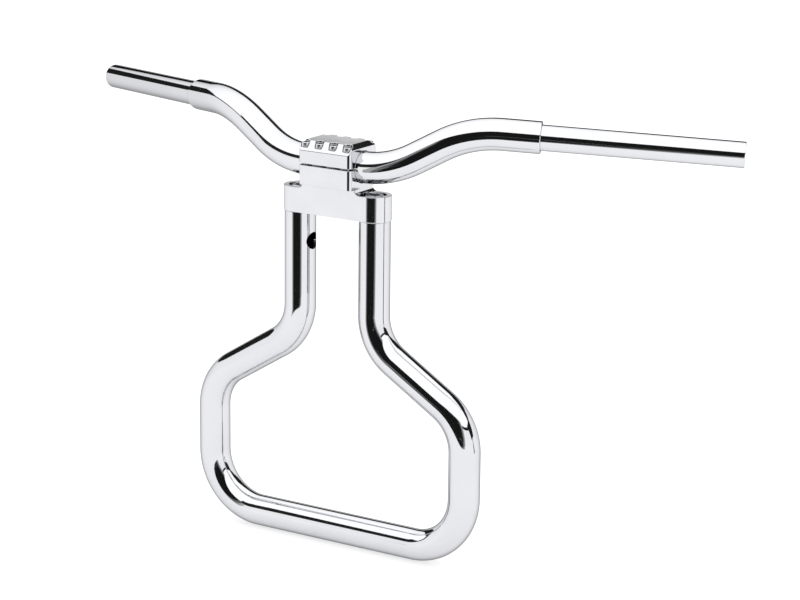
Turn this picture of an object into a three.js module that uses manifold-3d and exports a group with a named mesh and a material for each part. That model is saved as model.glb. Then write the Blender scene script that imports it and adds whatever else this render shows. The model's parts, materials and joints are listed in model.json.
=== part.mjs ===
// A motorcycle handlebar: a bent riser loop that stands on its crossbar, a lower clamp that bridges
// the tops of the loop's two necks, and a bent handlebar held between the lower and upper clamps.
//
// Millimetres. The origin is the middle of the crossbar's axis, where the motorcycle grips it.
// +X runs along the crossbar, +Y points back to the rider, and +Z is up.
import * as THREE from 'three';
import { mergeVertices } from 'three/addons/utils/BufferGeometryUtils.js';
import Module from 'manifold-3d';

const wasm = await Module();
wasm.setup();

// ---- Driving dimensions ----

// Tube sizes: 1 1/4 inch for the loop and the bar, 1 inch for the grips.
const TUBE_RADIUS = 15.875;
const TUBE_WALL = 2.9;
const GRIP_RADIUS = 12.7;
const GRIP_WALL = 3.05;

// The riser loop, as the corners of its centreline before bending.
const LOOP_HALF_WIDTH = 152;
const LOOP_SHOULDER_HEIGHT = 134.5;
const NECK_HALF_SPACING = 44.45;
const NECK_BEND_HEIGHT = 200.5;
const LOOP_TOP = 326.5;
const CORNER_BEND_RADIUS = 58;
const SHOULDER_BEND_RADIUS = 53;
const NECK_BEND_RADIUS = 52;
const WIRE_HOLE_RADIUS = 8.75;
const WIRE_HOLE_HEIGHT = 296;

// The lower clamp: a bridge between the necks, and on it a foot that carries a saddle for the bar.
const BRIDGE_RADIUS = 16.75;
const BRIDGE_HEIGHT = 25.5;
const SADDLE_FOOT_HEIGHT = 5;
const SADDLE_FILLET = 5;

// Both clamp halves.
const CLAMP_HALF_WIDTH = 31;
const CLAMP_HALF_DEPTH = 24;
const CLAMP_CORNER_RADIUS = 4;
const CLAMP_BORE_RADIUS = 16.1;
const SPLIT_GAP = 1.8;

// The upper clamp.
const CAP_SIDE_HEIGHT = 12.9;
const CAP_HEIGHT = 23.1;
const CAP_SLOPE_DEPTH = 5;
const CAP_END_CHAMFER_WIDTH = 4;
const CAP_END_CHAMFER_HEIGHT = 5;

// The handlebar, as the corners of its right half's centreline before bending.
const BAR_HEIGHT = 378;
const BAR_FIRST_CORNER = new THREE.Vector3(62, 0, BAR_HEIGHT);
const BAR_SECOND_CORNER = new THREE.Vector3(141, 19, 422.5);
const BAR_END = new THREE.Vector3(380, 129.5, 409.5);
const BAR_FIRST_BEND_RADIUS = 105;
const BAR_SECOND_BEND_RADIUS = 106;
const GRIP_LENGTH = 195;
const GRIP_INSERTED_LENGTH = 30;

// Fasteners: radius and height of the head, radius and length of the shank, and the hex socket.
const RISER_BOLT = { head: 9.5, headHeight: 11.6, shank: 6.35, length: 27.5, socket: 9.5, socketDepth: 6 };
const CAP_SCREW = { head: 4.25, headHeight: 5, shank: 2.5, length: 30, socket: 4, socketDepth: 2.6 };

const RISER_COUNTERBORE = { radius: 11.5, depth: 14 };
const RISER_WASHER = { outer: 11, inner: 6.6, thickness: 1.8 };
const NECK_PLUG = { radius: 12.5, length: 16, bore: 6.6 };
const CAP_COUNTERBORE = { radius: 4.9, depth: 7 };
const CAP_SCREW_PITCH = 16.4;
const CAP_SCREW_COLUMNS = 4;
const CAP_SCREW_Y = 19.2;

// Running room: between seated faces, round a threaded shank, round a plain shank, and past a tip.
const SEAT_GAP = 0.1;
const THREAD_GAP = 0.15;
const HOLE_GAP = 0.25;
const TIP_ROOM = 0.5;
const CUT_OVERRUN = 2;

// Fineness of the facets.
const LOOP_SIDES = 20;
const BAR_SIDES = 24;
const BORE_SIDES = 48;
const POST_SIDES = 20;
const BEND_STEP = THREE.MathUtils.degToRad(11.5);

const BRIDGE_TOP = LOOP_TOP + SEAT_GAP + BRIDGE_HEIGHT;
const SADDLE_BOTTOM = BRIDGE_TOP + SADDLE_FOOT_HEIGHT;
const SADDLE_TOP = BAR_HEIGHT - SPLIT_GAP / 2;
const CAP_BOTTOM = BAR_HEIGHT + SPLIT_GAP / 2;
const CAP_TOP = CAP_BOTTOM + CAP_HEIGHT;

const LEFT_AND_RIGHT = [['left', -1], ['right', 1]];

const chrome = new THREE.MeshStandardMaterial({ color: 0xe9eaee, metalness: 1, roughness: 0.06 });
const machinedChrome = new THREE.MeshStandardMaterial({ color: 0xe4e5ea, metalness: 1, roughness: 0.1 });
const fastenerSteel = new THREE.MeshStandardMaterial({ color: 0xc9cacd, metalness: 1, roughness: 0.25 });
const bareSteel = new THREE.MeshStandardMaterial({ color: 0x9a9a98, metalness: 1, roughness: 0.4 });

// ---- Solids ----

// A closed three.js geometry as a solid that can be cut and joined.
function solid(geometry) {
  const bare = geometry.clone();
  bare.deleteAttribute('normal');
  bare.deleteAttribute('uv');
  const merged = mergeVertices(bare, 1e-4);
  return new wasm.Manifold(new wasm.Mesh({
    numProp: 3,
    vertProperties: new Float32Array(merged.attributes.position.array),
    triVerts: new Uint32Array(merged.index.array),
  }));
}

// A cut or joined solid as a three.js geometry again.
function shell(manifold) {
  const mesh = manifold.getMesh();
  const geometry = new THREE.BufferGeometry();
  geometry.setAttribute('position', new THREE.BufferAttribute(new Float32Array(mesh.vertProperties), 3));
  geometry.setIndex(new THREE.BufferAttribute(new Uint32Array(mesh.triVerts), 1));
  geometry.computeVertexNormals();
  return geometry;
}

function cutAll(body, cutters) {
  return cutters.reduce((rest, cutter) => rest.subtract(cutter), body);
}

// An upright cylinder, or a prism where it has few sides.
function post(radius, x, y, low, high, sides = POST_SIDES) {
  const geometry = new THREE.CylinderGeometry(radius, radius, high - low, sides);
  geometry.rotateX(Math.PI / 2);
  geometry.translate(x, y, (low + high) / 2);
  return solid(geometry);
}

// A cylinder along X.
function bore(radius, halfLength, z) {
  const geometry = new THREE.CylinderGeometry(radius, radius, 2 * halfLength, BORE_SIDES);
  geometry.rotateZ(Math.PI / 2);
  geometry.translate(0, 0, z);
  return solid(geometry);
}

// A plan outline in X and Y, carried up from one height to another.
function slab(outline, low, high) {
  const geometry = new THREE.ExtrudeGeometry(outline, {
    depth: high - low, bevelEnabled: false, curveSegments: 8,
  });
  geometry.translate(0, 0, low);
  return solid(geometry);
}

// A front outline in X and Z, carried from front to back.
function frontProfile(outline, halfDepth) {
  const geometry = new THREE.ExtrudeGeometry(outline, {
    depth: 2 * halfDepth, bevelEnabled: false, curveSegments: 6,
  });
  geometry.translate(0, 0, -halfDepth);
  geometry.rotateX(Math.PI / 2);
  return solid(geometry);
}

// A side outline in Y and Z, carried from left to right.
function sideProfile(outline, halfWidth) {
  const geometry = new THREE.ExtrudeGeometry(outline, {
    depth: 2 * halfWidth, bevelEnabled: false,
  });
  geometry.translate(0, 0, -halfWidth);
  geometry.rotateX(Math.PI / 2);
  geometry.rotateZ(Math.PI / 2);
  return solid(geometry);
}

function roundedRectangle(halfWidth, halfDepth, radius) {
  const outline = new THREE.Shape();
  outline.absarc(halfWidth - radius, halfDepth - radius, radius, 0, Math.PI / 2);
  outline.absarc(-halfWidth + radius, halfDepth - radius, radius, Math.PI / 2, Math.PI);
  outline.absarc(-halfWidth + radius, -halfDepth + radius, radius, Math.PI, 1.5 * Math.PI);
  outline.absarc(halfWidth - radius, -halfDepth + radius, radius, 1.5 * Math.PI, 2 * Math.PI);
  return outline;
}

// ---- Bent tubes ----

function direction(from, to) {
  return to.clone().sub(from).normalize();
}

// A tube's centreline: straight runs between corners that are rounded to a bend radius. Its
// stations are the ends of the straight runs and even steps round each bend.
class BentPath extends THREE.Curve {
  constructor(corners, radii) {
    super();
    this.stations = [];
    const last = corners.length - 1;
    this.addStation(corners[0], direction(corners[0], corners[1]));
    for (let i = 1; i < last; i += 1) {
      this.addBend(corners[i - 1], corners[i], corners[i + 1], radii[i - 1]);
    }
    this.addStation(corners[last], direction(corners[last - 1], corners[last]));
    this.steps = this.stations.length - 1;
  }

  addStation(position, tangent) {
    this.stations.push({ position, tangent });
  }

  addBend(before, corner, after, radius) {
    const into = direction(before, corner);
    const out = direction(corner, after);
    const turn = into.angleTo(out);
    const inward = out.clone().addScaledVector(into, -into.dot(out)).normalize();
    const start = corner.clone().addScaledVector(into, -radius * Math.tan(turn / 2));
    const centre = start.clone().addScaledVector(inward, radius);
    const steps = Math.ceil(turn / BEND_STEP);
    for (let i = 0; i <= steps; i += 1) {
      const angle = turn * i / steps;
      const tangent = into.clone().multiplyScalar(Math.cos(angle)).addScaledVector(inward, Math.sin(angle));
      const spoke = into.clone().multiplyScalar(Math.sin(angle)).addScaledVector(inward, -Math.cos(angle));
      this.addStation(centre.clone().addScaledVector(spoke, radius), tangent);
    }
  }

  stationAt(u) {
    return this.stations[Math.round(u * this.steps)];
  }

  getPointAt(u) {
    return this.stationAt(u).position.clone();
  }

  getTangentAt(u) {
    return this.stationAt(u).tangent.clone();
  }
}

function sweep(path, radius, sides) {
  const section = new THREE.Shape();
  section.absarc(0, 0, radius, 0, 2 * Math.PI);
  return solid(new THREE.ExtrudeGeometry(section, {
    steps: path.steps, extrudePath: path, bevelEnabled: false, curveSegments: sides / 2,
  }));
}

// The same corners with both ends carried past the tube's ends, for cutting its hollow.
function pastBothEnds(corners) {
  const last = corners.length - 1;
  const longer = corners.slice();
  longer[0] = corners[0].clone().addScaledVector(direction(corners[1], corners[0]), CUT_OVERRUN);
  const ending = direction(corners[last - 1], corners[last]);
  longer[last] = corners[last].clone().addScaledVector(ending, CUT_OVERRUN);
  return longer;
}

function tube(corners, radii, radius, wall, sides) {
  const outside = sweep(new BentPath(corners, radii), radius, sides);
  const inside = sweep(new BentPath(pastBothEnds(corners), radii), radius - wall, sides);
  return outside.subtract(inside);
}

// Right-half corners, given from the middle outwards, with their mirror images before them.
function bothHalves(corners) {
  const mirrored = corners.map((corner) => new THREE.Vector3(-corner.x, corner.y, corner.z));
  return [...mirrored.reverse(), ...corners];
}

// ---- Riser loop ----

function riserLoop() {
  const corners = bothHalves([
    new THREE.Vector3(LOOP_HALF_WIDTH, 0, 0),
    new THREE.Vector3(LOOP_HALF_WIDTH, 0, LOOP_SHOULDER_HEIGHT),
    new THREE.Vector3(NECK_HALF_SPACING, 0, NECK_BEND_HEIGHT),
    new THREE.Vector3(NECK_HALF_SPACING, 0, LOOP_TOP),
  ]);
  const radii = [NECK_BEND_RADIUS, SHOULDER_BEND_RADIUS, CORNER_BEND_RADIUS];
  const bent = tube(corners, [...radii, ...radii.slice().reverse()], TUBE_RADIUS, TUBE_WALL, LOOP_SIDES);

  // The wire hole opens from the left neck's hollow towards the other neck.
  const reach = TUBE_RADIUS + CUT_OVERRUN;
  const hole = new THREE.CylinderGeometry(WIRE_HOLE_RADIUS, WIRE_HOLE_RADIUS, reach, POST_SIDES);
  hole.rotateZ(Math.PI / 2);
  hole.translate(-NECK_HALF_SPACING + reach / 2, 0, WIRE_HOLE_HEIGHT);
  return bent.subtract(solid(hole));
}

// A threaded plug in the top of a neck, which the riser bolt screws into.
function neckPlug() {
  const top = LOOP_TOP - SEAT_GAP;
  const bottom = top - NECK_PLUG.length;
  const body = post(NECK_PLUG.radius, 0, 0, bottom, top);
  return body.subtract(post(NECK_PLUG.bore, 0, 0, bottom - CUT_OVERRUN, top + CUT_OVERRUN));
}

// ---- Clamp ----

function capScrewPlaces() {
  const firstX = -CAP_SCREW_PITCH * (CAP_SCREW_COLUMNS - 1) / 2;
  const places = [];
  for (const y of [-CAP_SCREW_Y, CAP_SCREW_Y]) {
    for (let column = 0; column < CAP_SCREW_COLUMNS; column += 1) {
      places.push([firstX + column * CAP_SCREW_PITCH, y]);
    }
  }
  return places;
}

function clampBore() {
  return bore(CLAMP_BORE_RADIUS, CLAMP_HALF_WIDTH + CUT_OVERRUN, BAR_HEIGHT);
}

// The saddle foot's front outline: it flows into the bridge's shoulders through hollow fillets.
function saddleFootOutline() {
  const foot = CLAMP_HALF_WIDTH + SADDLE_FILLET;
  const rise = BRIDGE_TOP + SADDLE_FILLET;
  const outline = new THREE.Shape();
  outline.moveTo(-foot, BRIDGE_TOP - CUT_OVERRUN);
  outline.lineTo(foot, BRIDGE_TOP - CUT_OVERRUN);
  outline.lineTo(foot, BRIDGE_TOP);
  outline.absarc(foot, rise, SADDLE_FILLET, -Math.PI / 2, -Math.PI, true);
  outline.lineTo(CLAMP_HALF_WIDTH, SADDLE_BOTTOM + CUT_OVERRUN);
  outline.lineTo(-CLAMP_HALF_WIDTH, SADDLE_BOTTOM + CUT_OVERRUN);
  outline.absarc(-foot, rise, SADDLE_FILLET, 0, -Math.PI / 2, true);
  return outline;
}

// The bridge, the saddle's foot and the saddle, machined from one block.
function lowerClamp() {
  const bottom = LOOP_TOP + SEAT_GAP;
  const plan = new THREE.Shape();
  plan.absarc(NECK_HALF_SPACING, 0, BRIDGE_RADIUS, -Math.PI / 2, Math.PI / 2);
  plan.absarc(-NECK_HALF_SPACING, 0, BRIDGE_RADIUS, Math.PI / 2, 1.5 * Math.PI);
  const saddlePlan = roundedRectangle(CLAMP_HALF_WIDTH, CLAMP_HALF_DEPTH, CLAMP_CORNER_RADIUS);
  const block = slab(plan, bottom, BRIDGE_TOP)
    .add(frontProfile(saddleFootOutline(), BRIDGE_RADIUS))
    .add(slab(saddlePlan, SADDLE_BOTTOM, SADDLE_TOP));

  const screwTip = CAP_TOP - CAP_COUNTERBORE.depth + SEAT_GAP - CAP_SCREW.length;
  const cutters = capScrewPlaces().map(([x, y]) => (
    post(CAP_SCREW.shank + THREAD_GAP, x, y, screwTip - TIP_ROOM, SADDLE_TOP + CUT_OVERRUN)
  ));
  cutters.push(clampBore());
  for (const [, side] of LEFT_AND_RIGHT) {
    const x = side * NECK_HALF_SPACING;
    const floor = BRIDGE_TOP - RISER_COUNTERBORE.depth;
    const above = SADDLE_BOTTOM + CUT_OVERRUN;
    cutters.push(post(RISER_COUNTERBORE.radius, x, 0, floor, above, BORE_SIDES));
    cutters.push(post(RISER_BOLT.shank + HOLE_GAP, x, 0, bottom - CUT_OVERRUN, floor + CUT_OVERRUN));
  }
  return cutAll(block, cutters);
}

// The upper clamp's sides stand upright and then slope in to the top, and its ends have a chamfer.
function upperClamp() {
  const sideTop = CAP_BOTTOM + CAP_SIDE_HEIGHT;
  const side = new THREE.Shape([
    new THREE.Vector2(-CLAMP_HALF_DEPTH, CAP_BOTTOM),
    new THREE.Vector2(CLAMP_HALF_DEPTH, CAP_BOTTOM),
    new THREE.Vector2(CLAMP_HALF_DEPTH, sideTop),
    new THREE.Vector2(CLAMP_HALF_DEPTH - CAP_SLOPE_DEPTH, CAP_TOP),
    new THREE.Vector2(-CLAMP_HALF_DEPTH + CAP_SLOPE_DEPTH, CAP_TOP),
    new THREE.Vector2(-CLAMP_HALF_DEPTH, sideTop),
  ]);
  const front = new THREE.Shape([
    new THREE.Vector2(-CLAMP_HALF_WIDTH, CAP_BOTTOM),
    new THREE.Vector2(CLAMP_HALF_WIDTH, CAP_BOTTOM),
    new THREE.Vector2(CLAMP_HALF_WIDTH, CAP_TOP - CAP_END_CHAMFER_HEIGHT),
    new THREE.Vector2(CLAMP_HALF_WIDTH - CAP_END_CHAMFER_WIDTH, CAP_TOP),
    new THREE.Vector2(-CLAMP_HALF_WIDTH + CAP_END_CHAMFER_WIDTH, CAP_TOP),
    new THREE.Vector2(-CLAMP_HALF_WIDTH, CAP_TOP - CAP_END_CHAMFER_HEIGHT),
  ]);
  const plan = roundedRectangle(CLAMP_HALF_WIDTH, CLAMP_HALF_DEPTH, CLAMP_CORNER_RADIUS);
  const block = slab(plan, CAP_BOTTOM, CAP_TOP)
    .intersect(sideProfile(side, CLAMP_HALF_WIDTH + CUT_OVERRUN))
    .intersect(frontProfile(front, CLAMP_HALF_DEPTH + CUT_OVERRUN));

  const floor = CAP_TOP - CAP_COUNTERBORE.depth;
  const pockets = capScrewPlaces().flatMap(([x, y]) => [
    post(CAP_COUNTERBORE.radius, x, y, floor, CAP_TOP + CUT_OVERRUN, BAR_SIDES),
    post(CAP_SCREW.shank + HOLE_GAP, x, y, CAP_BOTTOM - CUT_OVERRUN, floor + CUT_OVERRUN),
  ]);
  return cutAll(block, [clampBore(), ...pockets]);
}

// ---- Fasteners ----

// A socket-head screw with its origin under the head and its shank pointing down.
function socketScrew({ head, headHeight, shank, length, socket, socketDepth }) {
  const socketRadius = socket / Math.sqrt(3);
  return post(head, 0, 0, 0, headHeight)
    .add(post(shank, 0, 0, -length, SEAT_GAP, 12))
    .subtract(post(socketRadius, 0, 0, headHeight - socketDepth, headHeight + CUT_OVERRUN, 6));
}

function washer({ outer, inner, thickness }) {
  return post(outer, 0, 0, 0, thickness).subtract(post(inner, 0, 0, -CUT_OVERRUN, thickness + CUT_OVERRUN));
}

// ---- Handlebar ----

function barStraightDirection() {
  return direction(BAR_SECOND_CORNER, BAR_END);
}

function handlebarTube() {
  const joint = BAR_END.clone().addScaledVector(barStraightDirection(), -GRIP_LENGTH);
  const corners = bothHalves([BAR_FIRST_CORNER, BAR_SECOND_CORNER, joint]);
  const radii = [BAR_FIRST_BEND_RADIUS, BAR_SECOND_BEND_RADIUS];
  return tube(corners, [...radii.slice().reverse(), ...radii], TUBE_RADIUS, TUBE_WALL, BAR_SIDES);
}

// A grip tube starts inside the bar and carries its last straight on to the open end.
function gripTube(side) {
  const inner = BAR_END.clone().addScaledVector(barStraightDirection(), -GRIP_LENGTH - GRIP_INSERTED_LENGTH);
  const run = [inner, BAR_END.clone()];
  for (const corner of run) {
    corner.x *= side;
  }
  return tube(run, [], GRIP_RADIUS, GRIP_WALL, BAR_SIDES);
}

// ---- Assembly ----

function addPiece(group, name, manifold, material, x = 0, y = 0, z = 0) {
  const mesh = new THREE.Mesh(shell(manifold), material);
  mesh.name = name;
  mesh.position.set(x, y, z);
  group.add(mesh);
}

const riser = new THREE.Group();
addPiece(riser, 'riser_loop', riserLoop(), chrome);
addPiece(riser, 'lower_clamp', lowerClamp(), machinedChrome);
addPiece(riser, 'upper_clamp', upperClamp(), machinedChrome);

for (const [name, side] of LEFT_AND_RIGHT) {
  const x = side * NECK_HALF_SPACING;
  const washerSeat = BRIDGE_TOP - RISER_COUNTERBORE.depth + SEAT_GAP;
  const headSeat = washerSeat + RISER_WASHER.thickness + SEAT_GAP;
  addPiece(riser, `neck_plug_${name}`, neckPlug(), bareSteel, x);
  addPiece(riser, `riser_washer_${name}`, washer(RISER_WASHER), bareSteel, x, 0, washerSeat);
  addPiece(riser, `riser_bolt_${name}`, socketScrew(RISER_BOLT), fastenerSteel, x, 0, headSeat);
}

capScrewPlaces().forEach(([x, y], index) => {
  const headSeat = CAP_TOP - CAP_COUNTERBORE.depth + SEAT_GAP;
  addPiece(riser, `clamp_screw_${index + 1}`, socketScrew(CAP_SCREW), fastenerSteel, x, y, headSeat);
});

const handlebar = new THREE.Group();
addPiece(handlebar, 'handlebar_tube', handlebarTube(), chrome);
for (const [name, side] of LEFT_AND_RIGHT) {
  addPiece(handlebar, `grip_tube_${name}`, gripTube(side), chrome);
}

const assembly = new THREE.Group();
assembly.add(riser, handlebar);

export default assembly;
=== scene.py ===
import json
import math

import bmesh
import bpy
from mathutils import Matrix, Vector


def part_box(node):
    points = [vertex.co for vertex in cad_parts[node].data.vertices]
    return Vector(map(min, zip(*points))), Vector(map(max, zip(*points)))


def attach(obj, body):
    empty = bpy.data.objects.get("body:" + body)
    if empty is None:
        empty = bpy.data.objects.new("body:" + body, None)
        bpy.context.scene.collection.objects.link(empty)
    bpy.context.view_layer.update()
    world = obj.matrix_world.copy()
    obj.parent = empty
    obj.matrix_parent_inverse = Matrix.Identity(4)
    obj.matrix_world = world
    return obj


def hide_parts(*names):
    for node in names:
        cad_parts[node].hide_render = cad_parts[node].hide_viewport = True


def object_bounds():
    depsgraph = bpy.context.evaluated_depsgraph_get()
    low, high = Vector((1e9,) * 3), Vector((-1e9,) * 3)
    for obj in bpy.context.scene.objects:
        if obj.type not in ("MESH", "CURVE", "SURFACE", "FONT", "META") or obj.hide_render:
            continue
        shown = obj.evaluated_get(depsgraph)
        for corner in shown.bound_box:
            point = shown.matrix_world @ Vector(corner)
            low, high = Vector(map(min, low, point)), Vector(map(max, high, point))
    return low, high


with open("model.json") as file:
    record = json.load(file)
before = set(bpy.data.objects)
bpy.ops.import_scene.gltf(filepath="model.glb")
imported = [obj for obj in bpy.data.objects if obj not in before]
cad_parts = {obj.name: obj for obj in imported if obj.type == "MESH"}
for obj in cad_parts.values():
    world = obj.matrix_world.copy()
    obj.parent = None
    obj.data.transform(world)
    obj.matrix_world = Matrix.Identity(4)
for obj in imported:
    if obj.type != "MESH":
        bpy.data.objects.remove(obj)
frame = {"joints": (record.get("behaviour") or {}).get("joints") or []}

CAD_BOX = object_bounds()

# ---- Driving dimensions ----

MM = 0.001

# The bent tubes: 1 1/4 inch for the loop and the bar, 1 inch for the grips.
TUBE_RADIUS = 15.875 * MM
TUBE_WALL = 2.9 * MM
GRIP_RADIUS = 12.7 * MM
GRIP_WALL = 3.05 * MM
CUT_LIP = 0.6 * MM
CUT_LIP_ANGLES = (0, 30, 60, 90)

# The riser loop, as the corners of its centreline before bending.
LOOP_HALF_WIDTH = 152 * MM
LOOP_SHOULDER_HEIGHT = 134.5 * MM
NECK_HALF_SPACING = 44.45 * MM
NECK_BEND_HEIGHT = 200.5 * MM
LOOP_TOP = 326.5 * MM
CORNER_BEND_RADIUS = 58 * MM
SHOULDER_BEND_RADIUS = 53 * MM
NECK_BEND_RADIUS = 52 * MM
WIRE_HOLE_RADIUS = 8.75 * MM
WIRE_HOLE_HEIGHT = 296 * MM

# The lower clamp.
BRIDGE_RADIUS = 16.75 * MM
BRIDGE_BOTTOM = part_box("lower_clamp")[0].z
BRIDGE_TOP = BRIDGE_BOTTOM + 25.5 * MM
SADDLE_BOTTOM = BRIDGE_TOP + 5 * MM
SADDLE_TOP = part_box("lower_clamp")[1].z
SADDLE_FILLET = 5 * MM

# Both clamp halves.
CLAMP_HALF_WIDTH = 31 * MM
CLAMP_HALF_DEPTH = 24 * MM
CLAMP_CORNER_RADIUS = 4 * MM
CLAMP_BORE_RADIUS = 16.1 * MM
CLAMP_EDGE = 0.5 * MM

# The upper clamp.
CAP_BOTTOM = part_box("upper_clamp")[0].z
CAP_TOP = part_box("upper_clamp")[1].z
CAP_SIDE_HEIGHT = 12.9 * MM
CAP_SLOPE_DEPTH = 5 * MM
CAP_END_CHAMFER_WIDTH = 4 * MM
CAP_END_CHAMFER_HEIGHT = 5 * MM

# The handlebar, as the corners of its right half's centreline before bending.
BAR_HEIGHT = frame["joints"][0]["pos_m"][2]
BAR_FIRST_CORNER = Vector((62 * MM, 0, BAR_HEIGHT))
BAR_SECOND_CORNER = Vector((141 * MM, 19 * MM, 422.5 * MM))
BAR_END = Vector((380 * MM, 129.5 * MM, 409.5 * MM))
BAR_FIRST_BEND_RADIUS = 105 * MM
BAR_SECOND_BEND_RADIUS = 106 * MM
GRIP_LENGTH = 195 * MM
GRIP_INSERTED_LENGTH = 30 * MM

# Fasteners, in mm: radii and heights of the head and shank, the hex across its flats, and the
# thread's pitch. knurls is the number of grooves round the head.
RISER_BOLT = {"head": 9.5, "height": 11.6, "shank": 6.35, "length": 27.5, "hex": 9.5, "hex_depth": 6,
              "pitch": 1.954, "knurls": 54}
CAP_SCREW = {"head": 4.25, "height": 5, "shank": 2.5, "length": 30, "hex": 4, "hex_depth": 2.6,
             "pitch": 0.8, "knurls": 36}
RISER_COUNTERBORE_RADIUS = 11.5 * MM
RISER_COUNTERBORE_DEPTH = 14 * MM
RISER_BOLT_HOLE = 6.6 * MM
CAP_COUNTERBORE_RADIUS = 4.9 * MM
CAP_COUNTERBORE_DEPTH = 7 * MM
CAP_SCREW_HOLE = 2.75 * MM
CAP_SCREW_TAPPED = 2.65 * MM
CAP_SCREW_TIP_ROOM = 0.5 * MM
CAP_SCREW_PITCH = 16.4 * MM
CAP_SCREW_COLUMNS = 4
CAP_SCREW_Y = 19.2 * MM

# Details of the fasteners, as shares of the head's radius, the thread's pitch or the shank's length.
# The round at the head's top is (inward, downward) from its corner, as shares of the head's edge.
HEAD_EDGE = 0.1
HEAD_TOP_ROUND = [(0, 1.5), (0.4, 1), (1.4, 0)]
KNURL_DEPTH = 0.03
THREAD_DEPTH = 0.55
THREADED_SHARE = 0.75

# The inner rings.
RING_BORE_RADIUS = 6.6 * MM
WASHER_CHAMFER = 0.25 * MM
PLUG_CHAMFER = 0.6 * MM

CUT_OVERRUN = 2 * MM

# Fineness of the smooth surfaces.
TUBE_SIDES = 96
ROUND_SIDES = 72
BRIDGE_END_STEPS = 48
FILLET_STEPS = 14
CORNER_STEPS = 8
EDGE_SEGMENTS = 3
BEND_STEP = math.radians(2.5)
BEND_GUARD = 1 * MM
SHARP_ANGLE = math.radians(32)
MACHINED_ANGLE = math.radians(20)

# The camera, turned round a point 200 mm above the crossbar.
CAMERA_AIM = Vector((0, 0, 0.2))
CAMERA_AZIMUTH = math.radians(32.473)
CAMERA_ELEVATION = math.radians(14.295)
CAMERA_ROLL = math.radians(0.618)
CAMERA_DISTANCE = 2.7201
CAMERA_RIGHT = 0.0635
CAMERA_UP = 0.0375
CAMERA_LENS_MM = 121.96
CAMERA_SENSOR_MM = 36
CAMERA_REACH = 100

# The studio.
SKY_STRENGTH = 1.5
SWEEP_LEVEL = 1.21
FLOOR_GLOW = 0.57
FLOOR_PAPER = (0.45, 0.45, 0.455, 1)
FLOOR_HALF_SIZE = 14
FLOOR_GAP = 0.3 * MM
FLOOR_HEIGHT = CAD_BOX[0].z - FLOOR_GAP
CARD_DISTANCE = 4
CARD_ABOVE_FLOOR = 0.004
CARD_LAYER_GAP = 0.05
CARD_STEP = 3
CARD_ROWS = 24

# The dark front of the room, which fades out at its sides over three layers. Here and below, each
# station is (azimuth, lowest elevation, highest elevation) in degrees, seen from the camera's aim:
# azimuth 0 is -Y, and 90 is +X.
DARK_FRONT = [(-29, -14.5, 26), (-22, -15, 29), (27, -14.5, 30), (42, -12, 30), (54, 16, 28)]
DARK_FRONT_LEVELS = (0.5, 0.16, 0.012)
DARK_FRONT_FADE_LEFT = 5
DARK_FRONT_FADE_RIGHT = 6

# A dark bar that stands nearer, to the left of the dark front.
NEAR_BAR = [(-48, 15, 32.5), (-25, 15, 32.5)]
NEAR_BAR_DISTANCE = 1.35
NEAR_BAR_LEVEL = 0.02

# Two small dark things beyond the edge of the paper.
DARK_RIGHT = [(99, -16, 6), (105, -16, 6)]
DARK_RIGHT_LEVEL = 0.1
DARK_BACK = [(-165, -16, -2), (-136, -16, -2)]
DARK_BACK_LEVEL = 0.02

# The gap between the paper sweep and the tent over it: narrow at the sides, high and wide behind.
TENT_GAP_LEFT = [(-180, 18, 46), (-150, 16, 38), (-138, 13, 29), (-124, 8, 24), (-113, 8, 24),
                 (-103, 10, 26), (-94, 12, 27), (-85, 16, 26), (-78, 18.5, 22.5), (-27, 18.5, 22.5)]
TENT_GAP_RIGHT = [(48, 18.5, 23), (91, 18.5, 23), (95, 5, 25), (116, 8, 27), (130, 24, 42),
                  (150, 26, 50), (180, 18, 46)]
TENT_GAP_LEVEL = 0.02
SWEEP_BOTTOM = -2


# ---- Materials ----

# Sockets of a Mix node that mixes colours.
MIX_FACTOR = 0
MIX_FIRST = 6
MIX_SECOND = 7
MIX_RESULT = 2

NOISE_RANGE = (0.35, 0.65)
GRAIN_DETAIL = 4
GRAIN_STRENGTH = 0.5

# How far the grain is drawn out: not at all, along X, or round a Z axis.
EVEN = (1, 1, 1)
ALONG_X = (0.04, 1, 1)
AROUND_Z = (1, 1, 0.05)


class Nodes:
    """A short way to add and join the nodes of one node tree."""

    def __init__(self, tree):
        self.tree = tree
        self.tree.nodes.clear()

    def add(self, kind, **values):
        node = self.tree.nodes.new(kind)
        for name, value in values.items():
            if hasattr(node, name):
                setattr(node, name, value)
            else:
                node.inputs[name.replace("_", " ").title()].default_value = value
        return node

    def join(self, source, target):
        self.tree.links.new(source, target)


def new_material(name):
    """An empty material, with its nodes and its output node."""
    material = bpy.data.materials.new(name)
    material.use_nodes = True
    nodes = Nodes(material.node_tree)
    return material, nodes, nodes.add("ShaderNodeOutputMaterial")


def noise(nodes, stretch, scale, detail=3):
    """Noise over the piece's own coordinates, drawn out along an axis where stretch is small."""
    place = nodes.add("ShaderNodeTexCoord")
    mapping = nodes.add("ShaderNodeMapping", Scale=stretch)
    texture = nodes.add("ShaderNodeTexNoise", Scale=scale, Detail=detail)
    nodes.join(place.outputs["Object"], mapping.inputs["Vector"])
    nodes.join(mapping.outputs["Vector"], texture.inputs["Vector"])
    return texture.outputs["Fac"]


def spread(nodes, value, low, high):
    """A noise value, over the range where most of the noise lies, as a number from low to high."""
    ranged = nodes.add("ShaderNodeMapRange")
    ranged.inputs["From Min"].default_value = NOISE_RANGE[0]
    ranged.inputs["From Max"].default_value = NOISE_RANGE[1]
    ranged.inputs["To Min"].default_value = low
    ranged.inputs["To Max"].default_value = high
    nodes.join(value, ranged.inputs["Value"])
    return ranged.outputs["Result"]


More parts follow.
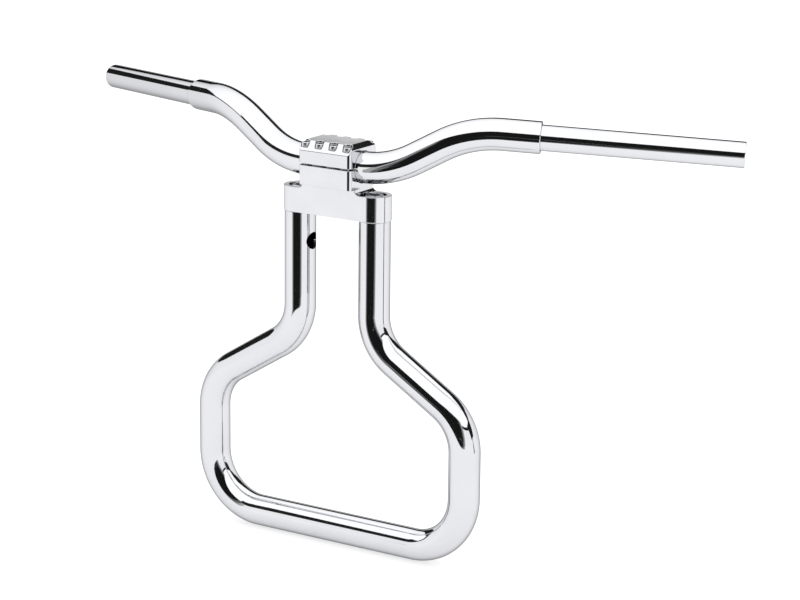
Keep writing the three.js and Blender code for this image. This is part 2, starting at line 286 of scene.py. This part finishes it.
def metal(name, colours, edge_tint, roughness, haze_scale, grain_stretch, grain_scale, grain_height):
    """A metal with patches of tint, a varying polish, and the fine grain that its finishing left.
    Its edge tint is how much of the light it still mirrors at a glancing angle, and its roughness is
    the least, the most and what the grain adds."""
    material, nodes, output = new_material(name)
    shader = nodes.add("ShaderNodeBsdfPrincipled")
    shader.inputs["Metallic"].default_value = 1
    shader.inputs["Specular Tint"].default_value = (edge_tint, edge_tint, edge_tint, 1)
    nodes.join(shader.outputs["BSDF"], output.inputs["Surface"])

    haze = noise(nodes, EVEN, haze_scale)
    tint = nodes.add("ShaderNodeMix", data_type="RGBA")
    tint.inputs[MIX_FIRST].default_value = (*colours[0], 1)
    tint.inputs[MIX_SECOND].default_value = (*colours[1], 1)
    nodes.join(spread(nodes, haze, 0, 1), tint.inputs[MIX_FACTOR])
    nodes.join(tint.outputs[MIX_RESULT], shader.inputs["Base Color"])

    grain = noise(nodes, grain_stretch, grain_scale, detail=GRAIN_DETAIL)
    polish = nodes.add("ShaderNodeMath", operation="ADD")
    least, most, from_grain = roughness
    nodes.join(spread(nodes, haze, least, most), polish.inputs[0])
    nodes.join(spread(nodes, grain, 0, from_grain), polish.inputs[1])
    nodes.join(polish.outputs["Value"], shader.inputs["Roughness"])

    bump = nodes.add("ShaderNodeBump", Strength=GRAIN_STRENGTH, Distance=grain_height)
    nodes.join(grain, bump.inputs["Height"])
    nodes.join(bump.outputs["Normal"], shader.inputs["Normal"])
    return material


tube_chrome = metal("tube_chrome", colours=[(0.68, 0.683, 0.70), (0.658, 0.664, 0.688)], edge_tint=0.3,
                    roughness=(0.03, 0.055, 0.015), haze_scale=18,
                    grain_stretch=EVEN, grain_scale=900, grain_height=0.000002)
block_chrome = metal("block_chrome", colours=[(0.68, 0.683, 0.698), (0.658, 0.663, 0.684)], edge_tint=0.6,
                     roughness=(0.06, 0.1, 0.03), haze_scale=40,
                     grain_stretch=ALONG_X, grain_scale=1500, grain_height=0.000006)
fastener = metal("fastener", colours=[(0.66, 0.665, 0.68), (0.56, 0.565, 0.58)], edge_tint=0.6,
                 roughness=(0.16, 0.26, 0.08), haze_scale=220,
                 grain_stretch=AROUND_Z, grain_scale=2600, grain_height=0.00002)
bare_steel = metal("bare_steel", colours=[(0.50, 0.49, 0.475), (0.38, 0.375, 0.37)], edge_tint=0.8,
                   roughness=(0.32, 0.46, 0.1), haze_scale=160,
                   grain_stretch=AROUND_Z, grain_scale=2200, grain_height=0.00004)


# ---- Pieces ----

def mesh_object(name, vertices, faces, material):
    mesh = bpy.data.meshes.new(name)
    mesh.from_pydata(vertices, [], faces)
    mesh.materials.append(material)
    piece = bpy.data.objects.new(name, mesh)
    bpy.context.scene.collection.objects.link(piece)
    return piece


def smooth(piece):
    piece.data.shade_smooth()
    piece.data.set_sharp_from_angle(angle=SHARP_ANGLE)


def stand_for(piece, node, body):
    """The piece takes the CAD node's place, and moves with its body."""
    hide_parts(node)
    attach(piece, body)


def apply_modifiers(piece):
    graph = bpy.context.evaluated_depsgraph_get()
    shown = piece.evaluated_get(graph)
    made = bpy.data.meshes.new_from_object(shown, preserve_all_data_layers=True, depsgraph=graph)
    piece.modifiers.clear()
    piece.data = made


def combine(piece, other, operation):
    """Joins the other solid to the piece, or cuts the piece with it, and uses it up."""
    modifier = piece.modifiers.new(operation, "BOOLEAN")
    modifier.operation = operation
    modifier.solver = "EXACT"
    modifier.object = other
    apply_modifiers(piece)
    bpy.data.objects.remove(other)


def prism(outline, low, high, place, material):
    """A solid whose outline is carried from low to high; place(a, b, h) gives each point."""
    count = len(outline)
    vertices = [place(a, b, h) for h in (low, high) for a, b in outline]
    sides = [(i, (i + 1) % count, count + (i + 1) % count, count + i) for i in range(count)]
    ends = [tuple(reversed(range(count))), tuple(range(count, 2 * count))]
    solid = mesh_object("solid", vertices, sides + ends, material)
    outward(solid)
    return solid


def outward(piece):
    """Turns every face of a closed solid outwards."""
    work = bmesh.new()
    work.from_mesh(piece.data)
    bmesh.ops.recalc_face_normals(work, faces=work.faces)
    work.to_mesh(piece.data)
    work.free()


def plan(a, b, h):
    return (a, b, h)


def front(a, b, h):
    return (a, h, b)


def side(a, b, h):
    return (h, a, b)


def arc(centre, radius, first, last, steps):
    """Points round an arc, between angles in degrees."""
    points = []
    for i in range(steps + 1):
        angle = math.radians(first + (last - first) * i / steps)
        points.append((centre[0] + radius * math.cos(angle), centre[1] + radius * math.sin(angle)))
    return points


def circle(centre, radius, sides=ROUND_SIDES):
    return arc(centre, radius, 0, 360, sides)[:-1]


# ---- Bent tubes ----

def bent_path(corners, radii):
    """Stations (point, tangent) along straight runs and the arcs that round each inner corner.
    A guard station just inside each end of a straight run keeps its shading straight."""
    first = (corners[1] - corners[0]).normalized()
    last = (corners[-1] - corners[-2]).normalized()
    stations = [(corners[0], first), (corners[0] + first * BEND_GUARD, first)]
    for i, radius in enumerate(radii, start=1):
        into = (corners[i] - corners[i - 1]).normalized()
        out = (corners[i + 1] - corners[i]).normalized()
        turn = into.angle(out)
        inward = (out - into * into.dot(out)).normalized()
        start = corners[i] - into * (radius * math.tan(turn / 2))
        centre = start + inward * radius
        stations.append((start - into * BEND_GUARD, into))
        steps = math.ceil(turn / BEND_STEP)
        for step in range(steps + 1):
            angle = turn * step / steps
            spoke = into * math.sin(angle) - inward * math.cos(angle)
            tangent = into * math.cos(angle) + inward * math.sin(angle)
            stations.append((centre + spoke * radius, tangent))
        stations.append((stations[-1][0] + out * BEND_GUARD, out))
    stations += [(corners[-1] - last * BEND_GUARD, last), (corners[-1], last)]
    return stations


def ring_frames(stations):
    """An axis across the tube at each station, carried along without twist."""
    across = stations[0][1].orthogonal().normalized()
    frames = []
    for point, tangent in stations:
        across = (across - tangent * across.dot(tangent)).normalized()
        frames.append((point, tangent, across, tangent.cross(across)))
    return frames


def end_lip(frame_at_end, outward_sign, radius, wall):
    """Rings (frame, shift, radius) over one cut end, from the outside to the bore."""
    rounded = []
    for angle in CUT_LIP_ANGLES:
        turn = math.radians(angle)
        shift = -outward_sign * CUT_LIP * (1 - math.sin(turn))
        rounded.append((shift, CUT_LIP * (1 - math.cos(turn))))
    rings = [(frame_at_end, shift, radius - inset) for shift, inset in rounded]
    rings += [(frame_at_end, shift, radius - wall + inset) for shift, inset in reversed(rounded)]
    return rings


def tube(name, corners, radii, radius, wall):
    """A hollow bent tube, with the edges of its cut ends slightly rounded."""
    frames = ring_frames(bent_path(corners, radii))
    rings = [(f, 0, radius) for f in frames[1:-1]]
    rings += end_lip(frames[-1], 1, radius, wall)
    rings += [(f, 0, radius - wall) for f in reversed(frames[1:-1])]
    rings += reversed(end_lip(frames[0], -1, radius, wall))
    vertices = []
    for (point, tangent, across, up), shift, ring_radius in rings:
        for i in range(TUBE_SIDES):
            angle = 2 * math.pi * i / TUBE_SIDES
            spoke = across * math.cos(angle) + up * math.sin(angle)
            vertices.append(point + tangent * shift + spoke * ring_radius)
    faces = []
    for r in range(len(rings)):
        following = (r + 1) % len(rings)
        for i in range(TUBE_SIDES):
            j = (i + 1) % TUBE_SIDES
            faces.append((r * TUBE_SIDES + i, r * TUBE_SIDES + j,
                          following * TUBE_SIDES + j, following * TUBE_SIDES + i))
    piece = mesh_object(name, vertices, faces, tube_chrome)
    outward(piece)
    return piece


def mirrored(corners):
    """The right half's corners, from the middle outwards, with their mirror images before them."""
    left = [Vector((-c.x, c.y, c.z)) for c in reversed(corners)]
    return left + corners


def riser_loop():
    corners = mirrored([
        Vector((LOOP_HALF_WIDTH, 0, 0)),
        Vector((LOOP_HALF_WIDTH, 0, LOOP_SHOULDER_HEIGHT)),
        Vector((NECK_HALF_SPACING, 0, NECK_BEND_HEIGHT)),
        Vector((NECK_HALF_SPACING, 0, LOOP_TOP)),
    ])
    radii = [NECK_BEND_RADIUS, SHOULDER_BEND_RADIUS, CORNER_BEND_RADIUS]
    piece = tube("riser_loop_fine", corners, radii + radii[::-1], TUBE_RADIUS, TUBE_WALL)
    hole = prism(circle((0, WIRE_HOLE_HEIGHT), WIRE_HOLE_RADIUS), -NECK_HALF_SPACING,
                 -NECK_HALF_SPACING + TUBE_RADIUS + CUT_OVERRUN, side, tube_chrome)
    combine(piece, hole, "DIFFERENCE")
    smooth(piece)
    stand_for(piece, "riser_loop", "riser")


def handlebar():
    along = (BAR_END - BAR_SECOND_CORNER).normalized()
    joint = BAR_END - along * GRIP_LENGTH
    radii = [BAR_FIRST_BEND_RADIUS, BAR_SECOND_BEND_RADIUS]
    corners = mirrored([BAR_FIRST_CORNER, BAR_SECOND_CORNER, joint])
    bar = tube("handlebar_tube_fine", corners, radii[::-1] + radii, TUBE_RADIUS, TUBE_WALL)
    smooth(bar)
    stand_for(bar, "handlebar_tube", "handlebar")

    inner = joint - along * GRIP_INSERTED_LENGTH
    for name, way in (("left", -1), ("right", 1)):
        ends = [Vector((way * p.x, p.y, p.z)) for p in (inner, BAR_END)]
        grip = tube(f"grip_tube_{name}_fine", ends, [], GRIP_RADIUS, GRIP_WALL)
        smooth(grip)
        stand_for(grip, f"grip_tube_{name}", "handlebar")


# ---- Clamp ----

def cap_screw_places():
    first = -CAP_SCREW_PITCH * (CAP_SCREW_COLUMNS - 1) / 2
    return [(first + column * CAP_SCREW_PITCH, y)
            for y in (-CAP_SCREW_Y, CAP_SCREW_Y) for column in range(CAP_SCREW_COLUMNS)]


def clamp_plan():
    x = CLAMP_HALF_WIDTH - CLAMP_CORNER_RADIUS
    y = CLAMP_HALF_DEPTH - CLAMP_CORNER_RADIUS
    outline = []
    for (cx, cy), first in (((x, y), 0), ((-x, y), 90), ((-x, -y), 180), ((x, -y), 270)):
        outline += arc((cx, cy), CLAMP_CORNER_RADIUS, first, first + 90, CORNER_STEPS)
    return outline


def soften_edges(piece):
    """Small rounds on the machined edges, with flat faces kept flat."""
    bevel = piece.modifiers.new("edges", "BEVEL")
    bevel.width = CLAMP_EDGE
    bevel.segments = EDGE_SEGMENTS
    bevel.limit_method = "ANGLE"
    bevel.angle_limit = MACHINED_ANGLE
    bevel.use_clamp_overlap = False
    piece.data.shade_smooth()
    normals = piece.modifiers.new("normals", "WEIGHTED_NORMAL")
    normals.keep_sharp = True
    apply_modifiers(piece)


def cut_bar_bore(piece):
    across = CLAMP_HALF_WIDTH + CUT_OVERRUN
    bore = circle((0, BAR_HEIGHT), CLAMP_BORE_RADIUS, TUBE_SIDES)
    combine(piece, prism(bore, -across, across, side, block_chrome), "DIFFERENCE")


def drill(piece, x, y, radius, low, high):
    """A round upright hole in a clamp half."""
    hole = prism(circle((x, y), radius), low, high, plan, block_chrome)
    combine(piece, hole, "DIFFERENCE")


def lower_clamp():
    bridge = arc((NECK_HALF_SPACING, 0), BRIDGE_RADIUS, -90, 90, BRIDGE_END_STEPS)
    bridge += arc((-NECK_HALF_SPACING, 0), BRIDGE_RADIUS, 90, 270, BRIDGE_END_STEPS)
    piece = prism(bridge, BRIDGE_BOTTOM, BRIDGE_TOP, plan, block_chrome)
    piece.name = "lower_clamp_fine"

    foot_x = CLAMP_HALF_WIDTH + SADDLE_FILLET
    foot_bottom = BRIDGE_TOP - CUT_OVERRUN
    foot_top = SADDLE_BOTTOM + CUT_OVERRUN
    fillet_height = BRIDGE_TOP + SADDLE_FILLET
    foot = [(-foot_x, foot_bottom), (foot_x, foot_bottom)]
    foot += arc((foot_x, fillet_height), SADDLE_FILLET, 270, 180, FILLET_STEPS)
    foot += [(CLAMP_HALF_WIDTH, foot_top), (-CLAMP_HALF_WIDTH, foot_top)]
    foot += arc((-foot_x, fillet_height), SADDLE_FILLET, 0, -90, FILLET_STEPS)
    combine(piece, prism(foot, -BRIDGE_RADIUS, BRIDGE_RADIUS, front, block_chrome), "UNION")
    combine(piece, prism(clamp_plan(), SADDLE_BOTTOM, SADDLE_TOP, plan, block_chrome), "UNION")
    cut_bar_bore(piece)

    seat = BRIDGE_TOP - RISER_COUNTERBORE_DEPTH
    for x in (-NECK_HALF_SPACING, NECK_HALF_SPACING):
        drill(piece, x, 0, RISER_COUNTERBORE_RADIUS, seat, SADDLE_BOTTOM + CUT_OVERRUN)
        drill(piece, x, 0, RISER_BOLT_HOLE, BRIDGE_BOTTOM - CUT_OVERRUN, seat + CUT_OVERRUN)
    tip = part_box("clamp_screw_1")[0].z - CAP_SCREW_TIP_ROOM
    for x, y in cap_screw_places():
        drill(piece, x, y, CAP_SCREW_TAPPED, tip, SADDLE_TOP + CUT_OVERRUN)
    soften_edges(piece)
    stand_for(piece, "lower_clamp", "riser")


def chamfered(half_width, shoulder_height, top_half_width):
    """The cap's outline, seen along one axis: square below, sloped in above the shoulders."""
    return [(-half_width, CAP_BOTTOM), (half_width, CAP_BOTTOM), (half_width, shoulder_height),
            (top_half_width, CAP_TOP), (-top_half_width, CAP_TOP), (-half_width, shoulder_height)]


def upper_clamp():
    piece = prism(clamp_plan(), CAP_BOTTOM, CAP_TOP, plan, block_chrome)
    piece.name = "upper_clamp_fine"
    across = CLAMP_HALF_WIDTH + CUT_OVERRUN
    sloped = chamfered(CLAMP_HALF_DEPTH, CAP_BOTTOM + CAP_SIDE_HEIGHT, CLAMP_HALF_DEPTH - CAP_SLOPE_DEPTH)
    combine(piece, prism(sloped, -across, across, side, block_chrome), "INTERSECT")
    deep = CLAMP_HALF_DEPTH + CUT_OVERRUN
    top_half_width = CLAMP_HALF_WIDTH - CAP_END_CHAMFER_WIDTH
    ended = chamfered(CLAMP_HALF_WIDTH, CAP_TOP - CAP_END_CHAMFER_HEIGHT, top_half_width)
    combine(piece, prism(ended, -deep, deep, front, block_chrome), "INTERSECT")
    cut_bar_bore(piece)
    seat = CAP_TOP - CAP_COUNTERBORE_DEPTH
    for x, y in cap_screw_places():
        drill(piece, x, y, CAP_COUNTERBORE_RADIUS, seat, CAP_TOP + CUT_OVERRUN)
        drill(piece, x, y, CAP_SCREW_HOLE, CAP_BOTTOM - CUT_OVERRUN, seat + CUT_OVERRUN)
    soften_edges(piece)
    stand_for(piece, "upper_clamp", "riser")


# ---- Turned pieces ----

def turned(name, outline, sides, material, knurled=(), knurl_depth=0):
    """A closed outline (radius, height) turned round Z; outlines that start and end on the axis
    close there. Rings whose number is in knurled have every other point pushed in."""
    vertices = []
    rings = []
    for number, (radius, height) in enumerate(outline):
        if radius == 0:
            rings.append([len(vertices)] * sides)
            vertices.append((0, 0, height))
            continue
        rings.append(list(range(len(vertices), len(vertices) + sides)))
        for i in range(sides):
            angle = 2 * math.pi * i / sides
            cut = knurl_depth * (i % 2) if number in knurled else 0
            vertices.append(((radius - cut) * math.cos(angle), (radius - cut) * math.sin(angle), height))
    on_axis = outline[0][0] == 0
    faces = []
    for r in range(len(rings) - (1 if on_axis else 0)):
        lower, upper = rings[r], rings[(r + 1) % len(rings)]
        for i in range(sides):
            j = (i + 1) % sides
            face = [lower[i], lower[j], upper[j], upper[i]]
            faces.append(tuple(dict.fromkeys(face)))
    piece = mesh_object(name, vertices, faces, material)
    outward(piece)
    return piece


def socket_screw(name, size):
    """A socket-head screw with its origin under the head: knurled head, hex socket, ringed thread."""
    head, height, shank, length = (size[k] * MM for k in ("head", "height", "shank", "length"))
    pitch = size["pitch"] * MM
    edge = HEAD_EDGE * head
    root = shank - THREAD_DEPTH * pitch
    outline = [(0, -length), (root, -length)]
    for turn in range(int(THREADED_SHARE * length / pitch)):
        crest = -length + (turn + 0.5) * pitch
        outline += [(shank, crest), (root, crest + 0.5 * pitch)]
    neck = outline[-1][1] + 0.5 * pitch
    outline += [(shank, neck), (shank, 0), (head - edge / 2, 0)]
    knurled = [len(outline), len(outline) + 1]
    outline.append((head, edge / 2))
    outline += [(head - inward * edge, height - down * edge) for inward, down in HEAD_TOP_ROUND]
    outline.append((0, height))
    piece = turned(name, outline, 2 * size["knurls"], fastener, knurled, KNURL_DEPTH * head)

    corner_radius = size["hex"] * MM / math.sqrt(3)
    socket_floor = height - size["hex_depth"] * MM
    hexagon = circle((0, 0), corner_radius, 6)
    combine(piece, prism(hexagon, socket_floor, height + CUT_OVERRUN, plan, fastener), "DIFFERENCE")
    smooth(piece)
    return piece


def place_at(piece, node, name, under_head):
    """A copy of the piece over a CAD node, with its origin at the given height."""
    low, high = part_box(node)
    copy = bpy.data.objects.new(name, piece.data)
    bpy.context.scene.collection.objects.link(copy)
    copy.location = ((low.x + high.x) / 2, (low.y + high.y) / 2, under_head)
    return copy


def screws():
    pattern = socket_screw("cap_screw_pattern", CAP_SCREW)
    for number in range(1, 2 * CAP_SCREW_COLUMNS + 1):
        node = f"clamp_screw_{number}"
        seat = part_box(node)[0].z + CAP_SCREW["length"] * MM
        stand_for(place_at(pattern, node, f"{node}_fine", seat), node, "riser")
    bpy.data.objects.remove(pattern)

    pattern = socket_screw("riser_bolt_pattern", RISER_BOLT)
    for name in ("left", "right"):
        node = f"riser_bolt_{name}"
        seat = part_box(node)[0].z + RISER_BOLT["length"] * MM
        stand_for(place_at(pattern, node, f"{node}_fine", seat), node, "riser")
    bpy.data.objects.remove(pattern)


def ring_piece(node, edge):
    """A turned ring with chamfered edges, over a washer or plug of the frame."""
    low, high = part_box(node)
    outer = (high.x - low.x) / 2
    inner = RING_BORE_RADIUS
    height = high.z - low.z
    outline = [(inner + edge, 0), (outer - edge, 0), (outer, edge), (outer, height - edge),
               (outer - edge, height), (inner + edge, height), (inner, height - edge), (inner, edge)]
    piece = turned(f"{node}_fine", outline, TUBE_SIDES, bare_steel)
    smooth(piece)
    piece.location = ((low.x + high.x) / 2, (low.y + high.y) / 2, low.z)
    stand_for(piece, node, "riser")


def rings():
    for name in ("left", "right"):
        ring_piece(f"riser_washer_{name}", WASHER_CHAMFER)
        ring_piece(f"neck_plug_{name}", PLUG_CHAMFER)


# ---- Studio ----

def camera():
    sin_a, cos_a = math.sin(CAMERA_AZIMUTH), math.cos(CAMERA_AZIMUTH)
    sin_e, cos_e = math.sin(CAMERA_ELEVATION), math.cos(CAMERA_ELEVATION)
    back = Vector((sin_a * cos_e, -cos_a * cos_e, sin_e))
    level = Vector((cos_a, sin_a, 0))
    upright = back.cross(level)
    right = level * math.cos(CAMERA_ROLL) + upright * math.sin(CAMERA_ROLL)
    up = upright * math.cos(CAMERA_ROLL) - level * math.sin(CAMERA_ROLL)
    data = bpy.data.cameras.new("camera")
    data.lens = CAMERA_LENS_MM
    data.sensor_width = CAMERA_SENSOR_MM
    data.clip_end = CAMERA_REACH
    eye = bpy.data.objects.new("camera", data)
    bpy.context.scene.collection.objects.link(eye)
    place = CAMERA_AIM + back * CAMERA_DISTANCE + right * CAMERA_RIGHT + up * CAMERA_UP
    eye.matrix_world = Matrix.Translation(place) @ Matrix((right, up, back)).transposed().to_4x4()
    bpy.context.scene.camera = eye


def sky():
    world = bpy.data.worlds.new("white_room")
    world.use_nodes = True
    bpy.context.scene.world = world
    world.node_tree.nodes["Background"].inputs["Color"].default_value = (1, 1, 1, 1)
    world.node_tree.nodes["Background"].inputs["Strength"].default_value = SKY_STRENGTH


def floor():
    material, nodes, output = new_material("paper_floor")
    paper = nodes.add("ShaderNodeBsdfPrincipled", Roughness=1)
    paper.inputs["Base Color"].default_value = FLOOR_PAPER
    paper.inputs["Specular IOR Level"].default_value = 0
    paper.inputs["Emission Color"].default_value = (1, 1, 1, 1)
    paper.inputs["Emission Strength"].default_value = FLOOR_GLOW
    nodes.join(paper.outputs["BSDF"], output.inputs["Surface"])
    h = FLOOR_HALF_SIZE
    corners = [(x, y, FLOOR_HEIGHT) for x, y in ((-h, -h), (h, -h), (h, h), (-h, h))]
    sheet = mesh_object("floor", corners, [(0, 1, 2, 3)], material)


def card(name, stations, level, distance=CARD_DISTANCE, lying=CARD_ABOVE_FLOOR):
    """A strip through the stations that only reflections see. Where it would pass through the
    floor it lies just over it."""
    material, nodes, output = new_material(name)
    glow = nodes.add("ShaderNodeEmission")
    glow.inputs["Color"].default_value = (level, level, level, 1)
    nodes.join(glow.outputs["Emission"], output.inputs["Surface"])

    drop = CAMERA_AIM.z - FLOOR_HEIGHT - lying
    columns = []
    for before, after in zip(stations, stations[1:]):
        steps = math.ceil((after[0] - before[0]) / CARD_STEP)
        columns += [Vector(before).lerp(Vector(after), step / steps) for step in range(steps)]
    columns.append(Vector(stations[-1]))
    vertices = []
    for azimuth, low, high in columns:
        for row in range(CARD_ROWS + 1):
            turn = math.radians(azimuth)
            lift = math.radians(low + (high - low) * row / CARD_ROWS)
            flat = math.cos(lift)
            way = Vector((math.sin(turn) * flat, -math.cos(turn) * flat, math.sin(lift)))
            reach = min(distance, drop / -way.z) if way.z < 0 else distance
            vertices.append(CAMERA_AIM + way * reach)
    tall = CARD_ROWS + 1
    faces = [(c * tall + r, (c + 1) * tall + r, (c + 1) * tall + r + 1, c * tall + r + 1)
             for c in range(len(columns) - 1) for r in range(CARD_ROWS)]
    piece = mesh_object(name, vertices, faces, material)
    piece.visible_camera = False
    piece.visible_diffuse = False
    piece.visible_shadow = False


def dark_front():
    for layer, level in enumerate(DARK_FRONT_LEVELS):
        stations = []
        for azimuth, low, high in DARK_FRONT:
            inward = DARK_FRONT_FADE_LEFT if azimuth < 0 else -DARK_FRONT_FADE_RIGHT
            stations.append((azimuth + inward * layer, low, high))
        card(f"dark_front_{layer}", stations, level, CARD_DISTANCE - CARD_LAYER_GAP * layer,
             CARD_ABOVE_FLOOR * (1 + layer))


def cards():
    dark_front()
    card("near_dark_bar", NEAR_BAR, NEAR_BAR_LEVEL, NEAR_BAR_DISTANCE)
    card("dark_right", DARK_RIGHT, DARK_RIGHT_LEVEL)
    card("dark_back", DARK_BACK, DARK_BACK_LEVEL)
    for name, gap in (("left", TENT_GAP_LEFT), ("right", TENT_GAP_RIGHT)):
        card(f"tent_gap_{name}", gap, TENT_GAP_LEVEL)
        card(f"sweep_{name}", [(azimuth, SWEEP_BOTTOM, low) for azimuth, low, _ in gap], SWEEP_LEVEL)


camera()
sky()
floor()
cards()
riser_loop()
handlebar()
lower_clamp()
upper_clamp()
screws()
rings()
bpy.context.scene.view_settings.view_transform = "Standard"
